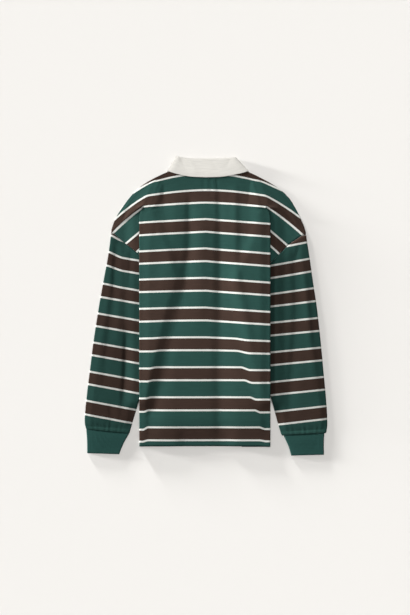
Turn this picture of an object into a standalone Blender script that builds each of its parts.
"""Striped polo sweatshirt, lying flat on its front with its back up, as its maker's pieces.

Frame: +X to the right seen from above, +Y towards the collar, +Z up. The origin is on the
floor under the middle of the garment. Sizes are in millimetres until a mesh is written.

Each cloth piece is an open sheet, a grid whose points are placed by a function, given a wall
by Solidify. Front and back are pleated at both sides: the body's edge is a fold, the cloth
runs inwards under it, folds again and runs out to the armhole, so the sleeves come out from
between the two panels. "out" is the distance from the middle line to the garment's side.
"""
import math
from collections import namedtuple

import bmesh
import bpy
import numpy as np

MM = 0.001

# --- driving sizes -------------------------------------------------------------------------
WALL = 1.2                 # jersey of the body and sleeves
RIB_WALL = 1.6             # ribbed cuffs
SEAM_GAP = 0.3             # between two pieces that are sewn together
HEM_Y = -350.0             # straight lower edge of front and back
BACK_NECK_Y = 337.0        # back neck seam
FRONT_NECK_Y = 257.0       # lowest point of the front neck seam
POINT_FOLD_R = 1.0         # middle radius of both folds at the pleat's point
FOLD_R = 1.5               # middle radius of the fold at the body's edge, further down
INNER_FOLD_R = 1.2         # the same for the hidden fold behind it
OPENING_LENGTH = 90.0      # over which the folds open out from the point
SLEEVE_R = 1.5             # middle radius of a flattened sleeve's side folds
PLACKET_WIDTH = 30.0
PLACKET_LENGTH = 150.0
PLACKET_GAP = 0.3
BUTTON_R = 5.5
BUTTON_THICK = 1.7
BUTTON_PITCH = 55.0
BUTTON_COUNT = 3

# --- heights of the middle of each layer over the floor -------------------------------------
FLOOR_LEVEL = WALL / 2
NECK_LIFT = 2.4            # front panel rides over the collar leaf and the placket's buttons
BODY_LEVEL = 5.0           # back panel over the front, away from pleats and sleeves
NECK_LEVEL = 6.4           # the same near the neck
POINT_WEDGE = 2.0          # cloth between the two folds at the pleat's point
SLEEVE_GAP = 2 * SLEEVE_R  # between the middles of a sleeve's two walls
EDGE_STEPS = 4             # steps in which a section is found from where its body ends

# --- where the heights change: distances over which one layer climbs onto another ------------
OUTSIDE_START = 10.0       # sleeve and wing come down to the floor this far past the body's edge
OUTSIDE_RAMP = 30.0
CORNER_Y = -262.0          # the sleeves come out from under the body's edge below here
CORNER_RAMP = 26.0
SEAM_START = 6.0           # the back's body comes down past the hidden side seam
SEAM_RAMP = 34.0
SLEEVE_START = 9.0         # the back's body comes down past the sleeve that lies under it
SLEEVE_RAMP = 44.0
FULL_DROP = 2.0            # pleat depth from which the body is lifted all the way
NECK_HALF = 140.0          # the front rides over the collar's leaf within this of the middle
NECK_START_Y = 192.0
NECK_RAMP = 26.0
STRIP_HALF = 49.0          # and over the placket within this
STRIP_OVERHANG = 34.0
STRIP_RAMP = 28.0
FALL_START = 70.0          # from the neck outwards the back comes down to the front
FALL_RAMP = 80.0
NECK_RISE_Y = 120.0        # from here up the back rises to its height at the neck
NECK_RISE_RAMP = 90.0
SINK_LEVEL = 255.0         # above here the front's sections hang lower than the back's
SINK_DEPTH = 17.0
SINK_POWER = 1.5
FRONT_CURVE = 2.0          # how sections of front and back curve down towards the edges
BACK_CURVE = 1.6

# --- how each piece is divided into cells ----------------------------------------------------
FOLD_CELLS = 4
WEDGE_CELLS = 3
WING_CELLS = 4
BACK_BODY_CELLS = 24
FRONT_BODY_CELLS = 12
SLEEVE_TOP_CELLS = 28
SLEEVE_UNDER_CELLS = 11
CUFF_TOP_CELLS = 14
CUFF_UNDER_CELLS = 7
SLEEVE_FOLD_CELLS = 3

# --- colours: linear red, green, blue ---------------------------------------------------------
GREEN = (0.022, 0.075, 0.055)
BROWN = (0.045, 0.027, 0.021)
OFF_WHITE = (0.80, 0.78, 0.74)

# --- tables: one row for each section, from the collar down ----------------------------------
# level: height on the middle line; drop: how far the section dips by its edge; edge: where the
# flat body part ends; turn: how far the pleat is folded over; fold: depth of the pleat;
# end_out, end_y: where the section meets the shoulder seam or the armhole seam.
Section = namedtuple("Section", "level drop edge turn fold end_out end_y")
LEFT_SECTIONS = (
    Section(337.0, 0.0, 96.0, 0.0, 3.6, 108.0, 337.0),
    Section(329.0, 12.0, 115.0, 0.0, 3.6, 164.5, 298.0),
    Section(312.5, 13.5, 130.0, 0.0, 3.6, 202.5, 255.0),
    Section(290.8, 13.0, 141.3, 0.0, 3.6, 225.0, 220.0),
    Section(273.8, 11.0, 147.5, 0.0, 3.6, 235.3, 193.0),
    Section(263.0, 8.5, 151.0, 0.0, 3.6, 236.3, 179.0),
    Section(258.5, 8.3, 152.4, 0.3, 3.6, 230.0, 175.5),
    Section(254.0, 8.0, 156.5, 1.0, 5.2, 224.0, 172.5),
    Section(246.3, 7.8, 161.5, 1.0, 13.2, 219.0, 168.5),
    Section(235.0, 7.5, 165.0, 1.0, 21.0, 211.3, 162.5),
    Section(218.3, 7.3, 165.8, 1.0, 27.5, 201.5, 155.0),
    Section(186.3, 7.3, 165.8, 1.0, 38.0, 174.5, 133.5),
    Section(145.0, 6.5, 165.8, 1.0, 52.0, 145.3, 110.5),
    Section(110.0, 5.5, 165.8, 1.0, 64.0, 118.8, 89.5),
    Section(73.8, 4.5, 165.8, 1.0, 76.0, 98.0, 73.0),
    Section(0.0, 2.8, 165.8, 1.0, 76.0, 98.0, 0.0),
    Section(-150.0, 2.8, 165.8, 1.0, 76.0, 98.0, -150.0),
    Section(HEM_Y, 0.5, 165.5, 1.0, 76.0, 98.0, HEM_Y),
)
RIGHT_SECTIONS = (
    Section(337.0, 0.0, 96.0, 0.0, 3.6, 108.5, 337.0),
    Section(329.0, 13.0, 117.5, 0.0, 3.6, 183.8, 293.0),
    Section(312.5, 14.5, 132.0, 0.0, 3.6, 212.5, 262.5),
    Section(290.8, 14.0, 142.0, 0.0, 3.6, 233.8, 223.8),
    Section(273.8, 12.5, 146.0, 0.0, 3.6, 246.6, 193.0),
    Section(261.5, 10.0, 148.0, 0.0, 3.6, 248.6, 176.5),
    Section(256.8, 10.2, 149.5, 0.5, 3.6, 239.0, 173.0),
    Section(252.3, 10.6, 152.0, 1.0, 5.2, 233.0, 169.5),
    Section(244.5, 11.0, 157.0, 1.0, 12.0, 225.5, 164.5),
    Section(234.0, 11.5, 159.3, 1.0, 16.0, 216.5, 157.5),
    Section(218.3, 12.0, 160.0, 1.0, 19.0, 205.0, 148.0),
    Section(186.3, 12.5, 160.0, 1.0, 23.5, 184.0, 129.0),
    Section(145.0, 13.0, 160.0, 1.0, 40.0, 148.8, 99.5),
    Section(110.0, 12.5, 160.0, 1.0, 57.0, 118.8, 74.5),
    Section(73.8, 12.0, 160.0, 1.0, 72.5, 98.0, 56.0),
    Section(0.0, 11.0, 160.0, 1.0, 72.5, 98.0, 0.0),
    Section(-150.0, 7.5, 160.0, 1.0, 72.5, 98.0, -150.0),
    Section(HEM_Y, 1.5, 160.0, 1.0, 72.5, 98.0, HEM_Y),
)
POINT_LEVEL = 262.0        # the pleats' point
UNDERARM_LEVEL = 73.8      # below it a panel has no wing and ends at its side seam
SHOULDER_POINT_LEVEL = 265.0   # sections below it end on the armhole seam
BACK_LEVELS = (
    HEM_Y, -325.0, -285.0, -245.0, -205.0, -160.0, -115.0, -70.0, -25.0, 20.0,
    UNDERARM_LEVEL, 110.0, 145.0, 166.0, 186.3, 203.0, 218.3, 235.0, 246.3, 254.0,
    258.5, 263.0, 273.8, 290.8, 302.0, 312.5, 322.0, 329.0, 337.0)
FRONT_LEVELS = (
    HEM_Y, -285.0, -205.0, -115.0, -25.0, 20.0, UNDERARM_LEVEL, 110.0, 145.0, 186.3, 218.3,
    235.0, 246.3, 254.0, 258.5, 263.0, 273.8, 290.8, 312.5, 329.0, 337.0)

# outer_y, inner_y: where a sleeve's section starts on its outer fold and ends on its inner one
SleeveSection = namedtuple("SleeveSection", "outer_out outer_y inner_out inner_y")
LEFT_SLEEVE = (
    SleeveSection(236.8, 180.6, 88.0, 61.5),
    SleeveSection(238.5, 165.0, 89.5, 56.0),
    SleeveSection(244.0, 125.0, 92.0, 46.0),
    SleeveSection(257.0, 55.0, 97.0, 27.0),
    SleeveSection(267.5, -5.0, 112.0, -28.0),
    SleeveSection(280.0, -85.0, 132.0, -108.0),
    SleeveSection(290.0, -165.0, 154.0, -188.0),
    SleeveSection(298.0, -230.0, 171.0, -247.0),
    SleeveSection(302.5, -285.0, 184.0, -290.0),
    SleeveSection(299.5, -306.0, 191.5, -317.0),
)
RIGHT_SLEEVE = (
    SleeveSection(250.0, 176.5, 88.0, 47.0),
    SleeveSection(251.5, 163.0, 89.0, 42.0),
    SleeveSection(257.5, 125.0, 91.5, 33.0),
    SleeveSection(267.5, 55.0, 97.0, 15.0),
    SleeveSection(276.5, -5.0, 109.0, -38.0),
    SleeveSection(286.0, -90.0, 128.0, -113.0),
    SleeveSection(293.5, -170.0, 149.0, -185.0),
    SleeveSection(299.5, -235.0, 166.5, -243.0),
    SleeveSection(302.5, -292.0, 187.5, -297.0),
    SleeveSection(295.0, -313.5, 197.0, -321.0),
)
SLEEVE_STATIONS = (0.0, 0.6, 1.3, 2.1, 3.0, 4.0, 5.0, 6.0, 6.9, 7.5, 8.0, 8.35, 8.7, 9.0)
# the armhole seam bows between its ends by this much, towards the collar
SEAM_BOW = {"left": 3.0, "right": 7.0}
BOW_REACH = 0.7            # share of the sleeve's width over which the seam bows
# lower edge of each cuff: outer and inner corner
CuffEnd = namedtuple("CuffEnd", "outer_out outer_y inner_out inner_y")
CUFF_ENDS = {
    "left": CuffEnd(296.0, -367.5, 217.5, -370.0),
    "right": CuffEnd(293.8, -371.3, 213.8, -373.5),
}
CREASE_END = 0.14          # share of a crease's length over which it fades in and out
PLEAT_CREASE_LOSS = 0.75   # creases are this much shallower where the pleat lies under them
GATHER_COUNT = 8           # puckers where a sleeve is gathered into its cuff
GATHER_HEIGHT = 0.9

# a crease of the back: where it runs, how wide and how deep (negative: a soft ridge)
Crease = namedtuple("Crease", "top_x top_y bend_x bend_y low_x low_y width depth")
CREASES = (
    Crease(-50.0, 285.0, -58.0, 90.0, -143.0, -330.0, 17.0, 2.3),
    Crease(30.0, 300.0, 29.0, 60.0, 36.0, -340.0, 15.0, 2.2),
    Crease(82.0, 290.0, 95.0, 40.0, 130.0, -300.0, 14.0, 1.9),
    Crease(-6.0, 318.0, -4.0, 270.0, -2.0, 210.0, 8.0, 1.0),
    Crease(-100.0, 230.0, -105.0, 60.0, -150.0, -110.0, 26.0, -1.8),
    Crease(-12.0, 250.0, -18.0, 40.0, -62.0, -250.0, 26.0, -2.0),
    Crease(58.0, 290.0, 64.0, 90.0, 92.0, -160.0, 18.0, -2.0),
    Crease(118.0, 230.0, 122.0, 40.0, 132.0, -140.0, 22.0, -1.4),
)

# collar: stations from the centre back round a side to the centre front. turn: 0 where the
# leaf lies over the stand, 1 where it lies under it. base: on the neck seam; top: the fold;
# leaf: the leaf's free edge.
CollarStation = namedtuple(
    "CollarStation", "turn base_out base_y top_out top_y leaf_out leaf_y")
COLLAR_STATIONS = (
    CollarStation(0.0, 0.0, 337.6, 0.0, 366.0, 0.0, 318.8),
    CollarStation(0.0, 40.0, 337.6, 33.0, 366.3, 40.0, 321.0),
    CollarStation(0.0, 70.0, 337.6, 54.0, 368.0, 72.0, 327.0),
    CollarStation(0.12, 91.0, 338.5, 64.0, 370.5, 97.0, 334.5),
    CollarStation(0.5, 98.5, 341.0, 67.5, 371.0, 110.5, 338.5),
    CollarStation(0.76, 98.0, 338.0, 67.5, 370.0, 112.0, 336.0),
    CollarStation(0.98, 95.5, 332.0, 66.0, 366.5, 112.5, 328.0),
    CollarStation(1.0, 79.0, 302.0, 56.0, 344.0, 104.0, 284.0),
    CollarStation(1.0, 48.0, 274.0, 38.0, 317.0, 84.0, 251.0),
    CollarStation(1.0, 10.0, 258.5, 11.0, 297.0, 46.0, 222.0),
)
COLLAR_GAP = 2.4           # between the middles of stand and leaf
COLLAR_BACK_LEVEL = 6.4    # stand at the centre back
COLLAR_FRONT_LEVEL = 3.0   # stand at the front
EAR_LIFT = 4.0             # how far the collar stands up at its two corners
EAR_STATION = 3.3
COLLAR_STEPS = 2           # cells between two stations
STAND_CELLS = 3
LEAF_CELLS = 4


def ease(value):
    """Smooth step from 0 to 1."""
    t = np.clip(value, 0.0, 1.0)
    return t * t * (3.0 - 2.0 * t)


def glide(x, xs, ys):
    """Smooth curve through a table's points that doesn't overshoot between them."""
    xs, ys = np.asarray(xs, float), np.asarray(ys, float)
    if xs[0] > xs[-1]:
        xs, ys = xs[::-1], ys[::-1]
    slope = np.diff(ys) / np.diff(xs)
    tangent = np.concatenate(([slope[0]], (slope[1:] + slope[:-1]) / 2, [slope[-1]]))
    flat = np.concatenate(([False], slope[1:] * slope[:-1] <= 0, [False]))
    tangent[flat] = 0.0
    cell = int(np.clip(np.searchsorted(xs, x) - 1, 0, len(xs) - 2))
    width = xs[cell + 1] - xs[cell]
    t = float(np.clip((x - xs[cell]) / width, 0.0, 1.0))
    limit = 3.0 * abs(slope[cell])
    start = float(np.clip(tangent[cell], -limit, limit))
    end = float(np.clip(tangent[cell + 1], -limit, limit))
    return (ys[cell] * (2 * t ** 3 - 3 * t ** 2 + 1) + start * width * (t ** 3 - 2 * t ** 2 + t)
            + ys[cell + 1] * (3 * t ** 2 - 2 * t ** 3) + end * width * (t ** 3 - t ** 2))


def section_at(sections, level):
    """The section of a panel at any level, read between the table's rows."""
    levels = [row.level for row in sections]
    return Section(*(glide(level, levels, column) for column in zip(*sections)))


def sleeve_section_at(sections, station):
    """The section of a sleeve at any station, read between the table's rows."""
    return SleeveSection(
        *(glide(station, range(len(sections)), column) for column in zip(*sections)))


def section_by_edge(side, y):
    """The section whose body ends at height y: found from its level, in a few steps."""
    sections = LEFT_SECTIONS if side < 0 else RIGHT_SECTIONS
    level = y
    for _ in range(EDGE_STEPS):
        level = y + section_at(sections, level).drop
    return section_at(sections, level)


# --- heights -----------------------------------------------------------------------------------
def pleat_reach(side, y):
    """How far a sleeve or a wing reaches in under the body's edge at y, from that edge."""
    sleeve = LEFT_SLEEVE if side < 0 else RIGHT_SLEEVE
    section = section_by_edge(side, y)
    if y > UNDERARM_LEVEL - 10.0:
        return section.fold
    inner = glide(y, [row.inner_y for row in sleeve], [row.inner_out for row in sleeve])
    return section.edge - inner


def fold_radii(level):
    """Middle radii of the edge fold and of the hidden one at a level."""
    share = float(ease((POINT_LEVEL - level) / OPENING_LENGTH))
    return (POINT_FOLD_R + (FOLD_R - POINT_FOLD_R) * share,
            POINT_FOLD_R + (INNER_FOLD_R - POINT_FOLD_R) * share)


def pleat_drop(side, y):
    """How far the wing lies past the body's layer at y: 0 above the pleat's point."""
    section = section_by_edge(side, y)
    turn = math.pi * section.turn
    if turn <= 0.0:
        return 0.0
    radii = sum(fold_radii(section.level))
    straight = max(section.fold - radii, POINT_WEDGE)
    return radii * math.pi * (1 - math.cos(turn)) / turn + straight * math.sin(turn)


def under_level(side, out, y):
    """Height of the layer that comes out of the body: the front's wing and a sleeve's under
    wall. It rises over the front's pleat and lies on the floor outside."""
    outside = ease((out - section_by_edge(side, y).edge - OUTSIDE_START) / OUTSIDE_RAMP)
    leaving = ease((y - CORNER_Y) / CORNER_RAMP)
    lift = pleat_drop(side, y) * (1.0 - outside) * leaving
    return float(FLOOR_LEVEL + max(lift, NECK_LIFT * neck_share(out, y)))


def crease_height(x, y):
    """Soft troughs and ridges of the back, as a height to add."""
    total = 0.0
    for crease in CREASES:
        centre = glide(y, (crease.low_y, crease.bend_y, crease.top_y),
                       (crease.low_x, crease.bend_x, crease.top_x))
        span = crease.top_y - crease.low_y
        along = (y - crease.low_y) / span
        ends = float(ease(along / CREASE_END) * ease((1.0 - along) / CREASE_END))
        total -= crease.depth * ends * math.exp(-((x - centre) / (0.6 * crease.width)) ** 2)
    return total


def neck_share(x, y):
    """1 over the collar's front leaf and the placket, 0 well away from them."""
    collar = ease((NECK_HALF - abs(x)) / NECK_RAMP) * ease((y - NECK_START_Y) / NECK_RAMP)
    strip_start = FRONT_NECK_Y - PLACKET_LENGTH - STRIP_OVERHANG
    strip = ease((STRIP_HALF - abs(x)) / STRIP_RAMP) * ease((y - strip_start) / STRIP_RAMP)
    return float(max(collar, strip))


def body_level(side, out, y):
    """Height of the back panel's body, without its creases.

    It lies on the front in the middle, and rises at its sides over the side seam and, further
    out, over the pleats and the sleeve.
    """
    section = section_by_edge(side, y)
    inside = section.edge - out
    drop = pleat_drop(side, y)
    neck_fall = (NECK_LEVEL - FLOOR_LEVEL - SLEEVE_GAP) * ease((out - FALL_START) / FALL_RAMP)
    neck_rise = ease((y - NECK_RISE_Y) / NECK_RISE_RAMP)
    level = BODY_LEVEL + (NECK_LEVEL - neck_fall - BODY_LEVEL) * neck_rise
    over_seam = FLOOR_LEVEL + 4 * fold_radii(section.level)[0] + WALL + 2 * SEAM_GAP
    pleated = min(1.0, drop / FULL_DROP)
    near_seam = pleated * (1.0 - ease((inside - section.fold - SEAM_START) / SEAM_RAMP))
    level += max(over_seam - level, 0.0) * near_seam
    over_sleeve = FLOOR_LEVEL + SLEEVE_GAP + 2 * drop
    near_sleeve = 1.0 - ease((inside - pleat_reach(side, y) - SLEEVE_START) / SLEEVE_RAMP)
    near_sleeve *= pleated * ease((y - CORNER_Y) / CORNER_RAMP)
    return float(level + (over_sleeve - level) * near_sleeve)


def front_level(x, y):
    """Height of the front panel's body."""
    return FLOOR_LEVEL + NECK_LIFT * neck_share(x, y)


def seam_y(side, out):
    """Where the armhole seam runs: the upper end of a sleeve, with its bow."""
    end = (LEFT_SLEEVE if side < 0 else RIGHT_SLEEVE)[0]
    share = (out - end.outer_out) / (end.inner_out - end.outer_out)
    bow = SEAM_BOW["left" if side < 0 else "right"]
    return (end.outer_y + (end.inner_y - end.outer_y) * share
            + bow * math.sin(math.pi * min(share / BOW_REACH, 1.0)))


def soft_max(a, b):
    """The larger of two heights, rounded where they cross."""
    return 0.5 * (a + b + math.sqrt((a - b) ** 2 + 0.3))


# --- the pleated panels -----------------------------------------------------------------------
PathPoint = namedtuple("PathPoint", "out y drop")


def pleat_path(section, edge_y):
    """Points of one section from the body's end to the armhole or shoulder seam.

    Each point has its plan position and how far it lies past the body's layer, measured
    across the layers: 0 on the body, most on the wing where the pleat is folded over.
    """
    turn = math.pi * section.turn
    radius, inner_radius = fold_radii(section.level)
    straight = max(section.fold - radius - inner_radius, POINT_WEDGE)
    lengths = ([math.pi * radius / FOLD_CELLS] * FOLD_CELLS
               + [straight / WEDGE_CELLS] * WEDGE_CELLS
               + [math.pi * inner_radius / FOLD_CELLS] * FOLD_CELLS)
    bends = ([turn / FOLD_CELLS] * FOLD_CELLS + [0.0] * WEDGE_CELLS
             + [-turn / FOLD_CELLS] * FOLD_CELLS)
    out = section.edge - radius * math.sin(min(turn, math.pi / 2))
    y, drop, heading = edge_y, 0.0, 0.0
    points = [PathPoint(out, y, drop)]
    for step, (length, bend) in enumerate(zip(lengths, bends)):
        middle = heading + bend / 2
        swing = 0.0
        if step >= FOLD_CELLS + WEDGE_CELLS:
            swing = math.atan2(section.end_y - y, max(section.end_out - out, 1.0))
            swing *= (step - FOLD_CELLS - WEDGE_CELLS + 1) / FOLD_CELLS
        out += length * math.cos(middle) * math.cos(swing)
        y += length * math.cos(middle) * math.sin(swing)
        drop += length * math.sin(middle)
        heading += bend
        points.append(PathPoint(out, y, drop))
    for step in range(1, WING_CELLS + 1):
        share = step / WING_CELLS
        points.append(PathPoint(out + (section.end_out - out) * share,
                                y + (section.end_y - y) * share, drop))
    return points


def side_points(side, level, front):
    """Points of one panel's side at one level, from the body's end outwards, with heights."""
    sections = LEFT_SECTIONS if side < 0 else RIGHT_SECTIONS
    section = section_at(sections, level)
    if level < SHOULDER_POINT_LEVEL:
        section = section._replace(end_y=seam_y(side, section.end_out) + SEAM_GAP / 0.4)
    above = max(level - SINK_LEVEL, 0.0) / (BACK_NECK_Y - SINK_LEVEL)
    sink = SINK_DEPTH * above ** SINK_POWER if front else 0.0
    path = pleat_path(section, section.level - section.drop - sink)
    wing_start = len(path) - WING_CELLS - 1
    points = []
    for index, point in enumerate(path):
        if front:
            body = front_level(side * path[0].out, path[0].y)
            wing = under_level(side, point.out, point.y)
            height = body + point.drop
        else:
            body = body_level(side, min(point.out, path[0].out), point.y)
            wing = under_level(side, point.out, point.y) + SLEEVE_GAP
            height = body - point.drop
        if index > wing_start:
            share = (index - wing_start) / WING_CELLS
            start = points[wing_start][2]
            fade = (1.0 - share) ** 2
            height = wing + (start - wing_at_start) * fade
            if level > SHOULDER_POINT_LEVEL and not front:
                height += (WALL + SEAM_GAP - SLEEVE_GAP) * share ** 3
            height = max(height, FLOOR_LEVEL)
        elif index == wing_start:
            wing_at_start = wing
        points.append((side * point.out, point.y, height))
    return points


def body_points(level, front, cells, left, right):
    """Points of a panel's body at one level, between its two sides."""
    points = []
    for index in range(1, cells):
        share = index / cells
        x = left[0] + (right[0] - left[0]) * share
        side, end = (-1, left) if share < 0.5 else (1, right)
        curve = abs(2 * share - 1) ** (FRONT_CURVE if front else BACK_CURVE)
        centre_y = level
        if front:
            above = max(level - UNDERARM_LEVEL, 0.0) / (BACK_NECK_Y - UNDERARM_LEVEL)
            centre_y -= (BACK_NECK_Y - FRONT_NECK_Y) * above
        y = centre_y + (end[1] - centre_y) * curve
        if front:
            height = front_level(x, y)
        else:
            over_pleat = ease((abs(x) - abs(end[0]) + 102.0) / 20.0)
            room = edge_fade(share) * (1.0 - PLEAT_CREASE_LOSS * over_pleat)
            height = body_level(side, abs(x), y) + crease_height(x, y) * room
            height = soft_max(height, highest_under(x, y) + WALL + SEAM_GAP)
        points.append((x, y, height))
    return points


def edge_fade(share):
    """1 on the body, 0 at its two folded edges."""
    return float(ease(min(share, 1.0 - share) * 12.0))


def highest_under(x, y):
    """Middle of the highest front layer under the back's body."""
    over_strip = abs(x) < PLACKET_WIDTH / 2 + 10.0 and y > FRONT_NECK_Y - PLACKET_LENGTH - 12.0
    return front_level(x, y) + (WALL + SEAM_GAP if over_strip else 0.0)


def panel_rows(front):
    """All points of a panel, a list for each level, from the left armhole to the right."""
    cells = FRONT_BODY_CELLS if front else BACK_BODY_CELLS
    rows = []
    for level in (FRONT_LEVELS if front else BACK_LEVELS):
        left = side_points(-1, level, front)
        right = side_points(1, level, front)
        rows.append(left[::-1] + body_points(level, front, cells, left[0], right[0]) + right)
    return rows


# --- sleeves and cuffs ------------------------------------------------------------------------
def across(shares, section, bow):
    """Plan points along a sleeve section, with its bow towards the collar."""
    for share in shares:
        out = section.outer_out + (section.inner_out - section.outer_out) * share
        y = section.outer_y + (section.inner_y - section.outer_y) * share
        yield out, y + bow * math.sin(math.pi * min(share / BOW_REACH, 1.0))


def ring_points(side, section, bow, cells, lift, puff, gather=0.0):
    """A flattened tube's ring: over the top from its outer fold, then back underneath."""
    radius = SLEEVE_R
    width = math.hypot(section.inner_out - section.outer_out, section.inner_y - section.outer_y)
    inset = radius / width
    top = np.linspace(inset, 1 - inset, cells[0] + 1)
    under = np.linspace(1 - inset, inset, cells[1] + 1)
    turns = [math.pi * step / SLEEVE_FOLD_CELLS for step in range(1, SLEEVE_FOLD_CELLS)]
    points = []

    def add(share, rise):
        out, y = next(across([share], section, bow))
        base = lift(side, out, y)
        points.append((side * out, y, base + rise))

    for share in top:
        swell = math.sin(math.pi * share) ** 0.5
        wave = gather * math.cos(2 * math.pi * GATHER_COUNT * share) * swell
        add(share, 2 * radius + puff * swell + wave)
    for turn in turns:
        add(1 - inset + inset * math.sin(turn), radius + radius * math.cos(turn))
    for share in under:
        add(share, 0.0)
    for turn in turns:
        add(inset - inset * math.sin(turn), radius - radius * math.cos(turn))
    return points + [points[0]]


def sleeve_rows(side):
    """All rings of a sleeve, from its armhole to its cuff."""
    sections = LEFT_SLEEVE if side < 0 else RIGHT_SLEEVE
    bow_size = SEAM_BOW["left" if side < 0 else "right"]
    rows = []
    for station in SLEEVE_STATIONS:
        section = sleeve_section_at(sections, station)
        bow = bow_size * (1.0 - float(ease(station / 3.0)))
        near_cuff = float(ease((station - 7.6) / 1.0))
        puff = 0.8 * float(ease(station / 2.0)) * (1.0 - near_cuff)
        rows.append(ring_points(side, section, bow, (SLEEVE_TOP_CELLS, SLEEVE_UNDER_CELLS),
                                under_level, puff, GATHER_HEIGHT * near_cuff))
    return rows


def cuff_rows(side):
    """All rings of a cuff, from the sleeve's end to its lower edge."""
    end = (LEFT_SLEEVE if side < 0 else RIGHT_SLEEVE)[-1]
    low = CUFF_ENDS["left" if side < 0 else "right"]
    inset = 1.0
    top = SleeveSection(end.outer_out - inset, end.outer_y - WALL / 2 - SEAM_GAP,
                        end.inner_out + inset, end.inner_y - WALL / 2 - SEAM_GAP)
    rows = []
    for share in (0.0, 0.3, 0.65, 1.0):
        section = SleeveSection(*(a + (b - a) * share for a, b in zip(top, low)))
        waist = 2.0 * math.sin(math.pi * share)
        section = section._replace(outer_out=section.outer_out - waist * 0.4,
                                   inner_out=section.inner_out + waist)
        rows.append(ring_points(side, section, 0.0, (CUFF_TOP_CELLS, CUFF_UNDER_CELLS),
                                cuff_floor, 0.8 * math.sin(math.pi * min(share + 0.2, 0.8))))
    return rows


def cuff_floor(side, out, y):
    """A cuff lies on the floor."""
    return RIB_WALL / 2


# --- collar ------------------------------------------------------------------------------------
def collar_station(at):
    """The collar's station between the table's rows."""
    return CollarStation(
        *(glide(at, range(len(COLLAR_STATIONS)), column) for column in zip(*COLLAR_STATIONS)))


def collar_section(side, at):
    """Points of stand, fold and leaf at one place round the neck."""
    station = collar_station(at)
    angle = math.pi * station.turn
    radius = COLLAR_GAP / 2
    middle = (COLLAR_BACK_LEVEL + COLLAR_FRONT_LEVEL) / 2
    half = (COLLAR_BACK_LEVEL - COLLAR_FRONT_LEVEL) / 2
    stand_z = middle + half * math.cos(angle)
    aside, above = math.sin(angle), math.cos(angle)
    run_out = station.top_out - station.base_out
    run_y = station.top_y - station.base_y
    run = math.hypot(run_out, run_y)
    ear = EAR_LIFT * math.exp(-((at - EAR_STATION) / 0.9) ** 2)
    points = []

    def add(out, y, offset, lift):
        """A point at a distance from the stand's layer, across the layers."""
        points.append((side * (out + offset * aside * run_y / run),
                       y - offset * aside * run_out / run, stand_z + offset * above + lift))

    for step in range(STAND_CELLS + 1):
        share = step / STAND_CELLS
        add(station.base_out + run_out * share, station.base_y + run_y * share, 0.0, ear * share)
    for turn in (0.25, 0.5, 0.75):
        reach = radius * math.sin(math.pi * turn) / run
        add(station.top_out + run_out * reach, station.top_y + run_y * reach,
            radius * (1 - math.cos(math.pi * turn)), ear)
    for step in range(LEAF_CELLS + 1):
        share = step / LEAF_CELLS
        add(station.top_out + (station.leaf_out - station.top_out) * share,
            station.top_y + (station.leaf_y - station.top_y) * share,
            COLLAR_GAP, ear * (1 - share) - leaf_settle(station, share))
    return points


def leaf_settle(station, share):
    """How far the leaf comes down onto the panel that it lies on."""
    return (COLLAR_GAP - WALL - SEAM_GAP - 0.2) * share * max(0.0, 1.0 - 2 * station.turn)


def collar_rows():
    """All sections of the collar from its left front end, round the back, to its right one."""
    last = len(COLLAR_STATIONS) - 1
    steps = [index / COLLAR_STEPS for index in range(last * COLLAR_STEPS + 1)]
    left = [collar_section(-1, at) for at in reversed(steps)]
    right = [collar_section(1, at) for at in steps[1:]]
    return left + right


# --- building ----------------------------------------------------------------------------------
def clear_scene():
    """Remove whatever is in the scene."""
    for thing in list(bpy.data.objects):
        bpy.data.objects.remove(thing, do_unlink=True)


def new_collection(name):
    """A collection linked to the scene."""
    collection = bpy.data.collections.new(name)
    bpy.context.scene.collection.children.link(collection)
    return collection


def finish(name, colour, roughness):
    """A material with the piece's own colour."""
    material = bpy.data.materials.new(name)
    material.use_nodes = True
    shader = material.node_tree.nodes["Principled BSDF"]
    shader.inputs["Base Color"].default_value = (*colour, 1.0)
    shader.inputs["Roughness"].default_value = roughness
    shader.inputs["Metallic"].default_value = 0.0
    return material


def add_object(name, mesh, collection, material=None):
    """An object in its collection."""
    thing = bpy.data.objects.new(name, mesh)
    collection.objects.link(thing)
    if material:
        mesh.materials.append(material)
    return thing


def sheet(name, rows, wall, collection, material, kept=None, closed=False):
    """A cloth piece: a grid laid over rows of points and given a wall on both sides of them.

    kept(row, column) says which cells belong to the piece; closed joins the first and the
    last column, which makes a tube.
    """
    columns, lines = len(rows[0]) - 1, len(rows) - 1
    grid = bmesh.new()
    bmesh.ops.create_grid(grid, x_segments=columns, y_segments=lines, size=0.5)
    cells = {}
    for vertex in grid.verts:
        column = round((vertex.co.x + 0.5) * columns)
        line = round((vertex.co.y + 0.5) * lines)
        cells[vertex] = (line, column)
        vertex.co = [value * MM for value in rows[line][column]]
    if kept:
        spare = [face for face in grid.faces
                 if not kept(min(cells[v][0] for v in face.verts),
                             min(cells[v][1] for v in face.verts))]
        bmesh.ops.delete(grid, geom=spare, context="FACES")
    if closed:
        bmesh.ops.remove_doubles(grid, verts=grid.verts[:], dist=1e-7)
    mesh = bpy.data.meshes.new(name)
    grid.to_mesh(mesh)
    grid.free()
    mesh.shade_smooth()
    piece = add_object(name, mesh, collection, material)
    solid = piece.modifiers.new("wall", "SOLIDIFY")
    solid.thickness = wall * MM
    solid.offset = 0.0
    return piece


def panel_cell_kept(columns, levels):
    """A test for the cells of a panel: below the underarm it stops at its side seam."""
    underarm_row = levels.index(UNDERARM_LEVEL)
    wing = FOLD_CELLS + WING_CELLS

    def kept(row, column):
        return row >= underarm_row or wing <= column < columns - wing

    return kept


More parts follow.
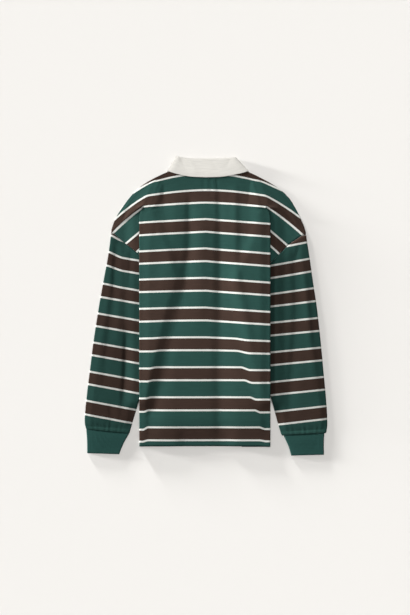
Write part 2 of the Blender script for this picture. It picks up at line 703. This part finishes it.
def build_panel(name, front, collection, material):
    """The front or the back."""
    rows = panel_rows(front)
    kept = panel_cell_kept(len(rows[0]) - 1, FRONT_LEVELS if front else BACK_LEVELS)
    return sheet(name, rows, WALL, collection, material, kept)


def box(name, low, high, collection, material=None):
    """A block between two corners in millimetres."""
    bpy.ops.mesh.primitive_cube_add(size=1.0)
    block = bpy.context.object
    block.name = name
    for other in list(block.users_collection):
        other.objects.unlink(block)
    collection.objects.link(block)
    size = [(b - a) * MM for a, b in zip(low, high)]
    middle = [(a + b) / 2 * MM for a, b in zip(low, high)]
    for vertex in block.data.vertices:
        vertex.co = [c * s + m for c, s, m in zip(vertex.co, size, middle)]
    if material:
        block.data.materials.append(material)
    return block


def cut_slot(panel, cutters):
    """Cut the front open where the placket is let in."""
    half = PLACKET_WIDTH / 2 + PLACKET_GAP
    cutter = box("placket_slot", (-half, FRONT_NECK_Y - PLACKET_LENGTH - PLACKET_GAP, -5.0),
                 (half, FRONT_NECK_Y + 20.0, 20.0), cutters)
    cutter.hide_render = True
    cutter.display_type = "WIRE"
    cut = panel.modifiers.new("placket_slot", "BOOLEAN")
    cut.operation = "DIFFERENCE"
    cut.object = cutter


def build_placket(name, level, half, length, collection, material):
    """A placket strip: a folded band let into the front, flush with it."""
    low = FRONT_NECK_Y - length
    rows = []
    for line in range(7):
        y = low + (FRONT_NECK_Y - 1.5 - low) * line / 6
        rows.append([(half * (column / 2 - 1), y, level) for column in range(5)])
    return sheet(name, rows, WALL, collection, material)


def build_button(index, collection, material):
    """A flat round button under the placket, sewn through it."""
    bpy.ops.mesh.primitive_cylinder_add(vertices=20, radius=BUTTON_R * MM,
                                        depth=BUTTON_THICK * MM)
    button = bpy.context.object
    button.name = f"button_{index + 1}"
    for other in list(button.users_collection):
        other.objects.unlink(button)
    collection.objects.link(button)
    y = FRONT_NECK_Y - 16.0 - BUTTON_PITCH * index
    button.location = (0.0, y * MM, BUTTON_THICK / 2 * MM)
    button.data.materials.append(material)
    edge = button.modifiers.new("rounded_edge", "BEVEL")
    edge.width = 0.4 * MM
    edge.segments = 1
    edge.limit_method = "ANGLE"
    return button


def main():
    """Build every piece."""
    clear_scene()
    garment = new_collection("polo_sweatshirt")
    cutters = new_collection("cutters")
    jersey = finish("striped_jersey", GREEN, 0.85)
    sleeve_cloth = finish("striped_sleeve_jersey", BROWN, 0.85)
    rib = finish("green_rib", GREEN, 0.8)
    twill = finish("off_white_twill", OFF_WHITE, 0.75)
    horn = finish("off_white_button", OFF_WHITE, 0.35)

    build_panel("back", False, garment, jersey)
    front = build_panel("front", True, garment, jersey)
    cut_slot(front, cutters)
    for side, label in ((-1, "left"), (1, "right")):
        sheet(f"sleeve_{label}", sleeve_rows(side), WALL, garment, sleeve_cloth, closed=True)
        sheet(f"cuff_{label}", cuff_rows(side), RIB_WALL, garment, rib, closed=True)
    sheet("collar", collar_rows(), WALL, garment, twill)
    outer_level = FLOOR_LEVEL + NECK_LIFT
    build_placket("placket_upper", outer_level, PLACKET_WIDTH / 2, PLACKET_LENGTH, garment, twill)
    build_placket("placket_under", outer_level + WALL + SEAM_GAP, PLACKET_WIDTH / 2 + 4.0,
                  PLACKET_LENGTH + 5.0, garment, twill)
    for index in range(BUTTON_COUNT):
        build_button(index, garment, horn)


main()
